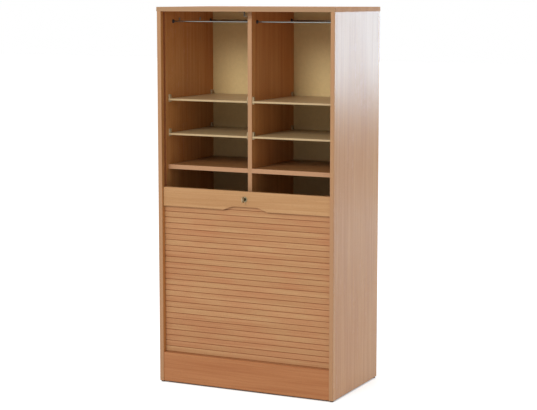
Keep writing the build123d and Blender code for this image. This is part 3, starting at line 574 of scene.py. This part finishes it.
def plated(name, base, gloss, brushed=None):
    """Plated metal, bright or brushed along an axis."""
    material, wires, shader, coordinates = surface(name)
    vector = coordinates.outputs["Object"]
    scale = {"X": (0.04, 1, 1), "Y": (1, 0.04, 1), "Z": (1, 1, 0.04), None: (1, 1, 1)}[brushed]
    lines = wires.noise(wires.stretch(vector, scale), 1400.0 if brushed else 120.0, 2.0)
    tint = wires.mix(wires.ramp(lines, 0.3, 0.7), (*base, 1), (*(part * 0.86 for part in base), 1))
    marks = placed(wires, "handling", {"Vector": vector, "Gloss": gloss, "Amount": 0.05})
    wires.feed(shader, {"Base Color": tint, "Roughness": marks.outputs["Roughness"], "Metallic": 1.0})
    bump(wires, shader, lines, 0.12 if brushed else 0.02, 0.05 * MM)
    return material


def dress(material, *nodes):
    """Gives CAD nodes a finish."""
    for node in nodes:
        for slot in frame["nodes"][node].material_slots:
            slot.material = material


def settings():
    """All settings of the cabinet."""
    return bpy.context.scene.cabinet


# ---- Operators -----------------------------------------------------------------------------------
class CABINET_OT_boards(bpy.types.Operator):
    """Finish the carcass boards, the shelves and the rear panel"""
    bl_idname = "cabinet.boards"
    bl_label = "Finish Boards"

    def execute(self, context):
        tones = settings().finish
        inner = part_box("divider")[0].y
        dark = tones.side_dark
        dress(beech("Side Beech", tones.side, dark, "Z", FRONT_Y, tones.edge, gloss=0.21, fleck=0.3,
                    shine=0.25, smudge=0.02), "side_left", "side_right")
        # The top's edge band is a darker copy of the edge band: painted shade.
        dress(beech("Top Beech", tones.side, dark, "X", FRONT_Y, tones.top_edge_painted_shade, (0.4, 0, 0),
                    gloss=0.52, shine=0.18, smudge=0.02), "top_panel")
        dress(beech("Divider Beech", tones.side, dark, "Z", inner, tones.edge, (0.7, 0.2, 0)), "divider")
        # Painted shade: these boards take the darker shelf tones, not the sides' beech.
        for node, shift in (("fixed_shelf_left", 0.2), ("fixed_shelf_right", 1.1), ("floor_panel", 1.9)):
            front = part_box(node)[0].y
            # The shelves' edge band is a lighter copy of the edge band: painted light.
            dress(beech(f"Beech {node}", tones.shelf, tones.shelf_dark, "X", front,
                        tones.shelf_edge_painted_light, (0, 0, shift)), node)
        dress(beech("Plinth Beech", tones.plinth, tones.plinth_dark, "X", place=(0, 0, 0.5), gloss=0.38),
              "plinth")
        thin = pressed_board("Thin Shelf Laminate", tones.thin, 0.4, 0.06, 0.12)
        dress(thin, *(f"{level}_shelf_{bay}" for level in ("upper", "middle", "lower")
                      for bay in ("left", "right")))
        dress(pressed_board("Rear Hardboard", tones.rear, 0.55, 0.06, 0.2, tones.rear_back),
              "rear_panel")
        dress(beech("Dowel Beech", tones.dowel, tones.dowel_dark, "X", gloss=0.6), "dowels")
        return {"FINISHED"}


class CABINET_OT_fittings(bpy.types.Operator):
    """Finish the tracks and the fasteners that keep their plain shape"""
    bl_idname = "cabinet.fittings"
    bl_label = "Finish Fittings"

    def execute(self, context):
        tones = settings().finish
        dress(moulded("Track Plastic", tones.track, 0.5), "track_left", "track_right",
              "lead_end_runners")
        dress(plated("Die Cast Zinc", tones.cam, 0.5), "cam_discs", "cam_bolts")
        return {"FINISHED"}


class CABINET_OT_rails(bpy.types.Operator):
    """Build the file rails and the cups that hold their ends"""
    bl_idname = "cabinet.rails"
    bl_label = "Build File Rails"

    def execute(self, context):
        fit = settings().fittings
        tones = settings().finish
        chrome = plated("Rail Chrome", tones.rail, 0.22)
        cups = Shell()
        for node in (f"{end}_rail_{bay}" for end in ("front", "rear") for bay in ("left", "right")):
            low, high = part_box(node)
            middle = (low + high) / 2
            radius = (high.y - low.y) / 2
            half = (high.x - low.x) / 2
            chamfer = radius * 0.3
            rail = Shell()
            rail.tube(turned([(radius - chamfer, -half), (radius, -half + chamfer),
                              (radius, half - chamfer), (radius - chamfer, half)], middle, (1, 0, 0)))
            rail.build(f"chrome_{node}", "cabinet", chrome, [node])
            for way, end in ((1, low.x), (-1, high.x)):
                foot = (end - way * fit.cup_floor, middle.y, middle.z)
                cups.tube(turned(self.cup(fit, radius), foot, (way, 0, 0), hollow=True))
        cups.build("rail_cups", "cabinet",
                   shared("Black Plastic", moulded, tones.cup, 0.45), ["rail_sockets"])
        return {"FINISHED"}

    def cup(self, fit, radius):
        """A cup's closed profile of radius and height: a wide foot, a round lip and the rail's bore.
        The bore narrows to a pin hole through the floor."""
        wide = fit.cup_radius
        tall = fit.cup_depth
        bore = radius + 0.1 * MM
        pin = 0.8 * MM
        corners = [(pin, 0), (wide, 0), (wide, tall * 0.3), (wide * 0.82, tall * 0.42),
                   (wide * 0.8, tall), (bore, tall), (bore, fit.cup_floor), (pin, fit.cup_floor)]
        return rounded(corners, np.array([0.1, 0.5, 0.5, 0.6, 1.1, 0.5, 0.2, 0.1]) * MM, 3)


class CABINET_OT_clips(bpy.types.Operator):
    """Build the moulded clips that hold the thin shelves"""
    bl_idname = "cabinet.clips"
    bl_label = "Build Shelf Clips"

    def execute(self, context):
        fit = settings().fittings
        clips = Shell()
        for node in (f"{level}_shelf_{bay}" for level in ("upper", "middle", "lower")
                     for bay in ("left", "right")):
            low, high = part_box(node)
            for depth in (low.y + fit.clip_inset, high.y - fit.clip_inset):
                for face, inward in ((low.x - fit.clip_gap, 1), (high.x + fit.clip_gap, -1)):
                    clips.tube(self.jaws(fit, face, inward, depth, low.z, high.z))
                    peg = [(fit.peg - 0.6 * MM, -fit.peg_length), (fit.peg, -fit.peg_length + 0.8 * MM),
                           (fit.peg, 0.4 * MM), (fit.peg - 0.4 * MM, 0.8 * MM)]
                    clips.tube(turned(peg, (face, depth, (low.z + high.z) / 2), (inward, 0, 0), 20))
        clips.build("shelf_clip_set", "cabinet",
                    moulded("Ivory Plastic", settings().finish.clip, 0.42), ["shelf_clips"])
        return {"FINISHED"}

    def jaws(self, fit, face, inward, depth, under, top):
        """A clip's C outline of (X, Z) with round corners, carried straight along Y."""
        reach = fit.clip_reach
        web = fit.clip_web
        low = under - fit.clip_foot
        high = top + fit.clip_rise
        corners = [(0, low), (reach, low), (reach, under), (web, under), (web, top), (reach, top),
                   (reach * 0.72, high), (0, high)]
        radii = np.array([0.5, 1.6, 0.3, 0.3, 0.3, 0.8, 1.6, 0.8]) * MM
        outline = rounded(corners, radii, 3)
        outline[:, 0] = face + inward * outline[:, 0]
        half = fit.clip_width / 2
        return carried(outline, depth + np.array((-half, half)), "Y")


class CABINET_OT_screws(bpy.types.Operator):
    """Build the rear panel's cross recessed screws and finish the strike's screws and the lead board's"""
    bl_idname = "cabinet.screws"
    bl_label = "Build Screws"

    def execute(self, context):
        fit = settings().fittings
        zinc = plated("Zinc Screws", settings().finish.screw, 0.36)
        low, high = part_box("rear_screws")
        head = fit.screw_head
        rows = np.linspace(low.z + head, high.z - head, fit.screw_rows)
        floor_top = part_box("floor_panel")[1].z
        shell = Shell()
        for x in (low.x + head, 0.0, high.x - head):
            for z in rows:
                if x or z > floor_top:
                    shell.tube(self.screw((x, high.y, z), (0, -1, 0), head, high.y - low.y,
                                          fit.screw_shank, fit.screw_head_depth))
        shell.build("rear_screw_set", "cabinet", zinc, ["rear_screws"])
        dress(zinc, "strike_screws", "lead_screws", "cam_screw")
        return {"FINISHED"}

    def screw(self, place, axis, head, reach, shank, head_depth):
        """Rings from the head's middle to the tip. Over the head, each point sinks by the recess depth
        where it lies in one of two crossed bars: the bars' share is a smooth step of the smaller of
        |x| and |y| against the bar's half width, and fades out with the radius."""
        angle = np.linspace(0, 2 * math.pi, 64, endpoint=False)
        radius = np.linspace(0.04, 0.9, 16) * head
        x = radius[:, None] * np.cos(angle)
        y = radius[:, None] * np.sin(angle)
        bar = np.clip((0.17 * head - np.minimum(np.abs(x), np.abs(y))) / (0.06 * head), 0, 1)
        fade = np.clip((0.62 - radius[:, None] / head) / 0.1, 0, 1)
        sink = bar * bar * (3 - 2 * bar) * fade * (1 - 0.5 * radius[:, None] / head) * 0.45 * head
        skirt = np.array([(head, 0.06), (head * 0.98, 0.35), (shank * 1.05, 1.0), (shank, 1.3)])
        skirt[:, 1] *= head_depth
        end = np.array([(shank, reach - 2.2 * shank), (shank * 0.1, reach)])
        lower = turned(np.concatenate([skirt, end]), place, axis, 64)
        axis = np.asarray(axis, float)
        face = turned(np.stack([radius, np.zeros_like(radius)], -1), place, axis, 64)
        face = face + sink[..., None] * axis
        return np.concatenate([face, lower])


class CABINET_OT_glides(bpy.types.Operator):
    """Build the nail-on glides under the sides"""
    bl_idname = "cabinet.glides"
    bl_label = "Build Glides"

    def execute(self, context):
        fit = settings().fittings
        low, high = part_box("glides")
        shell = Shell()
        radius = fit.glide_radius
        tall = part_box("side_left")[0].z
        nail = fit.glide_nail
        profile = [(radius * 0.3, 0), (radius * 0.72, 0.02 * tall), (radius * 0.9, 0.12 * tall),
                   (radius * 0.98, 0.32 * tall), (radius, 0.6 * tall), (radius, 0.9 * tall),
                   (radius * 0.95, tall), (nail, tall), (nail, high.z - 3 * nail), (nail * 0.1, high.z)]
        for x in (low.x + radius, high.x - radius):
            for y in (low.y + radius, high.y - radius):
                shell.tube(turned(profile, (x, y, 0), (0, 0, 1), 40))
        shell.build("glide_set", "cabinet",
                    shared("Black Plastic", moulded, settings().finish.cup, 0.45), ["glides"])
        return {"FINISHED"}


class CABINET_OT_strike(bpy.types.Operator):
    """Build the lock's strike, a folded strip under the top"""
    bl_idname = "cabinet.strike"
    bl_label = "Build Strike"

    def execute(self, context):
        low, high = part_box("strike")
        sheet = settings().fittings.strike_sheet
        leg = settings().fittings.strike_leg
        corners = [(low.x, high.z), (high.x - leg, high.z), (high.x - leg, low.z + sheet),
                   (high.x, low.z + sheet), (high.x, low.z), (high.x - leg - sheet, low.z),
                   (high.x - leg - sheet, high.z - sheet), (low.x, high.z - sheet)]
        radii = np.array([0.4, 2.8, 0.8, 0.9, 0.9, 2.8, 0.8, 0.4]) * MM
        strip = Shell()
        strip.tube(carried(rounded(corners, radii, 5), (low.y, high.y), "Y"))
        zinc = shared("Zinc Sheet", plated, settings().finish.strike, 0.5, "Y")
        strip.build("strike_strip", "cabinet", zinc, ["strike"])
        return {"FINISHED"}


class CABINET_OT_lock(bpy.types.Operator):
    """Build the lock's barrel, the key's bow and its cut blade"""
    bl_idname = "cabinet.lock"
    bl_label = "Build Lock"

    def execute(self, context):
        lock = settings().lock
        tones = settings().finish
        nickel = plated("Key Nickel", tones.nickel, 0.42, "Y")
        self.barrel(lock, plated("Lock Chrome", tones.barrel, 0.32))
        self.bow(lock, nickel)
        self.blade(lock, nickel)
        # Painted shade: the plug's dark finish stands for the shade in its keyway.
        dress(plated("Plug Painted Keyway Shade", tones.plug, 0.4), "lock_plug")
        dress(shared("Zinc Sheet", plated, tones.strike, 0.5, "Y"), "lock_nut", "lock_cam")
        return {"FINISHED"}

    def barrel(self, lock, material):
        """The barrel turned about its axis: a flange with a round rim and a hollow face, then a body
        whose radius falls and rises by the thread's depth, once in each thread pitch."""
        low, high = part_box("lock_barrel")
        rim = (high.x - low.x) / 2
        bore = lock.bore
        body = lock.body
        flange = lock.flange
        face = [(bore, 0.35 * MM), (bore + 0.3 * MM, 0.1 * MM), (bore + 1.1 * MM, 0.1 * MM),
                (bore + 1.6 * MM, 0.3 * MM), (rim - 1.5 * MM, 0.12 * MM), (rim - 0.9 * MM, 0),
                (rim - 0.4 * MM, 0.15 * MM), (rim - 0.1 * MM, 0.5 * MM), (rim, 1.0 * MM), (rim, flange),
                (body, flange)]
        length_left = high.y - low.y - flange
        turns = 2 * int(length_left / lock.thread)
        at = flange + np.linspace(0.04, 0.97, turns) * length_left
        depth = np.where(np.arange(turns) % 2, lock.thread * 0.4, 0.0)
        thread = np.stack([body - depth, at], -1)
        tail = [(body - 0.5 * MM, high.y - low.y), (bore, high.y - low.y)]
        profile = np.concatenate([face, thread, tail])
        centre = ((low.x + high.x) / 2, low.y, (low.z + high.z) / 2)
        shell = Shell()
        shell.tube(turned(profile, centre, (0, 1, 0), 72, hollow=True), closed=True)
        shell.build("lock_barrel_turned", "lead", material, ["lock_barrel"])

    def bow(self, lock, material):
        """The bow: a flat oval whose radius is a superellipse, with a ring hole. For every angle a
        closed profile runs over the round outer edge, along one face to the hole and back."""
        low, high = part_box("key_bow")
        half_length = (high.y - low.y) / 2
        half_height = (high.z - low.z) / 2
        angle = np.linspace(0, 2 * math.pi, 72, endpoint=False)
        power = 2 / lock.bow_power
        y = half_length * np.sign(np.cos(angle)) * np.abs(np.cos(angle)) ** power
        z = half_height * np.sign(np.sin(angle)) * np.abs(np.sin(angle)) ** power
        outer = np.stack([y, z], -1)
        hole = np.stack([np.cos(angle), np.sin(angle)], -1) * lock.ring_hole
        hole[:, 0] -= half_length * 0.34
        thick = (high.x - low.x) / 2
        edge = min(thick, 0.7 * MM)
        turn = np.linspace(0, math.pi / 2, 5)
        drawn = edge * (1 - np.cos(turn))
        lift = thick - edge + edge * np.sin(turn)
        outwards = outer / np.linalg.norm(outer, axis=1)[:, None]
        spoke = (hole - hole.mean(0)) / lock.ring_hole
        upper = [(outer - outwards * d, x) for d, x in zip(drawn, lift)]
        inner = [(hole + spoke * d, x) for d, x in zip(drawn, lift)]
        half = upper + inner[::-1]
        loop = half + [(points, -x) for points, x in half[::-1]]
        grid = np.empty((len(angle), len(loop), 3))
        for k, (points, x) in enumerate(loop):
            grid[:, k, 0] = x
            grid[:, k, 1:] = points
        grid += np.array((low + high) / 2)
        shell = Shell()
        shell.tube(grid, closed=True)
        shell.build("key_bow_plate", "key", material, ["key_bow"])

    def blade(self, lock, material):
        """The blade: a flat bar with a groove along one face, whose lower edge is cut by a row of
        notches. A notch's depth is a triangle wave of the distance along the blade, clipped flat."""
        low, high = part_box("key_blade")
        along = np.linspace(low.y, high.y, 89)
        tip = (high.y - along) / (high.y - low.y)
        wave = np.abs(((along - low.y) / lock.cut_pitch) % 1 - 0.5) * 2
        rank = np.array(lock.cuts)[((along - low.y) / lock.cut_pitch).astype(int) % len(lock.cuts)]
        bitten = (tip < lock.bitten) * rank * np.clip(1.4 * (1 - wave), 0, 1) * MM
        taper = np.clip(1 - tip / 0.1, 0, 1) * (high.z - low.z) * 0.3
        under = low.z + bitten + taper
        over = high.z - taper
        groove = lock.groove
        level = low.z + (high.z - low.z) * np.array([0.62, 0.66, 0.78, 0.82])
        sides = [(low.x, under), (low.x, level[0]), (low.x + groove, level[1]),
                 (low.x + groove, level[2]), (low.x, level[3]), (low.x, over), (high.x, over),
                 (high.x, under)]
        rings = np.empty((len(along), len(sides), 3))
        for k, (x, z) in enumerate(sides):
            rings[:, k, 0] = x
            rings[:, k, 2] = np.clip(z, under, over)
        rings[..., 1] = along[:, None]
        shell = Shell()
        shell.tube(rings)
        shell.build("key_blade_cut", "key", material, ["key_blade"], sharp=20)


class CABINET_OT_curtain(bpy.types.Operator):
    """Build the slats of the curtain and finish the lead board"""
    bl_idname = "cabinet.curtain"
    bl_label = "Build Curtain"

    def execute(self, context):
        curtain = settings().curtain
        tones = settings().finish
        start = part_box("base_slats")[0].z - curtain.gap / 2
        finish = beech("Slat Beech", tones.slat, tones.slat_dark, "X", gloss=0.38, start=start,
                       pitch=curtain.pitch, shine=0.22)
        for node in BODY_OF:
            if "slats" in node:
                self.stack(node, curtain, finish)
        dress(beech("Lead Beech", tones.lead, tones.lead_dark, "X", place=(0, 0, 2.3), gloss=0.36),
              "lead_board")
        return {"FINISHED"}

    def stack(self, node, curtain, material):
        """The slats of one node: a rounded bar with a crowned face, carried along X. The face's
        points stand forward of its edges by crown times one minus the square of their height
        from the slat's middle, as a share of the half height."""
        low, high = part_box(node)
        tall = curtain.pitch - curtain.gap
        edge = low.y + curtain.crown
        corners = [(edge, 0), (edge, tall), (high.y, tall), (high.y, 0)]
        radii = [curtain.nose, curtain.nose, curtain.heel, curtain.heel]
        outline = rounded(corners, radii)
        swell = np.linspace(-1, 1, 9)[1:-1]
        face = np.stack([edge - curtain.crown * (1 - swell ** 2),
                         tall / 2 + swell * (tall / 2 - curtain.nose)], -1)
        steps = len(outline) // len(corners)
        outline = np.concatenate([outline[:steps], face, outline[steps:]])
        shell = Shell()
        for k in range(round((high.z - low.z + curtain.gap) / curtain.pitch)):
            bar = outline + (0, low.z + k * curtain.pitch)
            shell.tube(carried(bar, (low.x, high.x)))
        shell.build(f"beech_{node}", BODY_OF[node], material, [node])


class CABINET_OT_stage(bpy.types.Operator):
    """Set up the floor, the camera and the studio light"""
    bl_idname = "cabinet.stage"
    bl_label = "Build Stage"

    def execute(self, context):
        stage = settings().stage
        scene = context.scene
        scene.view_settings.view_transform = "Standard"
        self.floor(stage)
        self.room(stage)
        data = bpy.data.cameras.new("Camera")
        data.sensor_width = 36.0
        data.lens = stage.lens
        camera = bpy.data.objects.new("Camera", data)
        camera.location = stage.camera
        camera.rotation_euler = (math.pi / 2 - stage.dip, 0, stage.turn)
        scene.collection.objects.link(camera)
        scene.camera = camera
        self.soft_box("Main Light", stage.key_place, stage.key_aim, stage.key_size, stage.key)
        self.soft_box("Side Light", stage.sheen_place, stage.sheen_aim, stage.sheen_size, stage.sheen,
                      stage.sheen_tint)
        return {"FINISHED"}

    def soft_box(self, name, where, target, size, power, tint=(1, 1, 1)):
        """A square lamp that faces a point."""
        data = bpy.data.lights.new(name, "AREA")
        data.size = size
        data.energy = power
        data.color = tint
        lamp = bpy.data.objects.new(name, data)
        lamp.location = where
        away = lamp.location - type(lamp.location)(target)
        lamp.rotation_euler = away.to_track_quat("Z", "Y").to_euler()
        bpy.context.scene.collection.objects.link(lamp)

    def seen(self, wires):
        """One where a ray comes straight or by a mirror or glass from the camera."""
        path = wires.add("ShaderNodeLightPath")
        glossy = wires.math("MAXIMUM", path.outputs["Is Camera Ray"], path.outputs["Is Glossy Ray"])
        return wires.math("MAXIMUM", glossy, path.outputs["Is Transmission Ray"])

    def outside_painted_shadow(self, wires, value, middle, half):
        """Rises smoothly from zero to one along one axis, from 16 mm inside the cabinet's outline to
        2 mm outside it: the soft edge of a painted shadow under the cabinet."""
        off = wires.math("ABSOLUTE", wires.math("SUBTRACT", value, middle))
        return wires.ramp(wires.math("SUBTRACT", off, half), -16 * MM, 2 * MM)

    def floor(self, stage):
        """A wide pale floor at the glides' feet, whose white glow leaves out what the cabinet covers.
        There the floor's real shading shows, and the glow's soft fade is a painted contact shadow.
        """
        reach = 30.0
        mesh = bpy.data.meshes.new("floor")
        mesh.from_pydata([(-reach, -reach, 0), (reach, -reach, 0), (reach, reach, 0), (-reach, reach, 0)],
                         [], [(0, 1, 2, 3)])
        piece = bpy.data.objects.new("floor", mesh)
        bpy.context.scene.collection.objects.link(piece)
        material, wires, shader, coordinates = surface("Pale Floor")
        grain = wires.noise(coordinates.outputs["Object"], 40.0, 2.0)
        tint = wires.mix(grain, (0.80, 0.79, 0.78, 1), (0.83, 0.82, 0.81, 1))
        spot = wires.add("ShaderNodeSeparateXYZ", {0: coordinates.outputs["Object"]})
        right, rear = CAD_BOX[1][:2]
        middle = (FRONT_Y + rear) / 2
        # Painted contact shadow: the glow fades to nothing over the cabinet's footprint.
        away = wires.math("MAXIMUM", self.outside_painted_shadow(wires, spot.outputs["X"], 0, right),
                          self.outside_painted_shadow(wires, spot.outputs["Y"], middle, rear - middle))
        glow = wires.math("MULTIPLY", wires.math("MULTIPLY", self.seen(wires), stage.glow), away)
        wires.feed(shader, {"Base Color": tint, "Roughness": 0.6, "Emission Strength": 1.0,
                            "Emission Color": wires.mix(glow, (0, 0, 0, 1), (1, 1, 1, 1))})
        mesh.materials.append(material)

    def room(self, stage):
        """Even light from all round, seen as white."""
        world = bpy.data.worlds.new("Room")
        world.use_nodes = True
        bpy.context.scene.world = world
        wires = Wires(world.node_tree)
        background = world.node_tree.nodes["Background"]
        sky = stage.sky
        wires.feed(background, {"Color": wires.mix(self.seen(wires), (sky, sky, sky, 1), (1, 1, 1, 1))})


class CABINET_PT_panel(bpy.types.Panel):
    """Lists the steps that build the cabinet"""
    bl_idname = "CABINET_PT_panel"
    bl_label = "Roll Front Cabinet"
    bl_space_type = "VIEW_3D"
    bl_region_type = "UI"
    bl_category = "Cabinet"

    def draw(self, context):
        for operator in OPERATORS:
            self.layout.operator(operator.bl_idname)


class CabinetSettings(bpy.types.PropertyGroup):
    """All settings of the cabinet."""
    curtain: bpy.props.PointerProperty(type=CurtainSettings)
    fittings: bpy.props.PointerProperty(type=FittingSettings)
    lock: bpy.props.PointerProperty(type=LockSettings)
    finish: bpy.props.PointerProperty(type=FinishSettings)
    stage: bpy.props.PointerProperty(type=StageSettings)


OPERATORS = (CABINET_OT_boards, CABINET_OT_fittings, CABINET_OT_curtain, CABINET_OT_rails,
             CABINET_OT_clips, CABINET_OT_screws, CABINET_OT_glides, CABINET_OT_strike,
             CABINET_OT_lock, CABINET_OT_stage)
CLASSES = (CurtainSettings, FittingSettings, LockSettings, FinishSettings, StageSettings,
           CabinetSettings, *OPERATORS, CABINET_PT_panel)


def register():
    """Registers the classes and hangs the settings on the scene."""
    for cls in CLASSES:
        bpy.utils.register_class(cls)
    bpy.types.Scene.cabinet = bpy.props.PointerProperty(type=CabinetSettings)


def unregister():
    """Takes the settings and the classes away again."""
    del bpy.types.Scene.cabinet
    for cls in reversed(CLASSES):
        bpy.utils.unregister_class(cls)


def main():
    """Builds everything in order."""
    register()
    bpy.ops.cabinet.boards()
    bpy.ops.cabinet.fittings()
    bpy.ops.cabinet.curtain()
    bpy.ops.cabinet.rails()
    bpy.ops.cabinet.clips()
    bpy.ops.cabinet.screws()
    bpy.ops.cabinet.glides()
    bpy.ops.cabinet.strike()
    bpy.ops.cabinet.lock()
    bpy.ops.cabinet.stage()


if __name__ == "__main__":
    main()
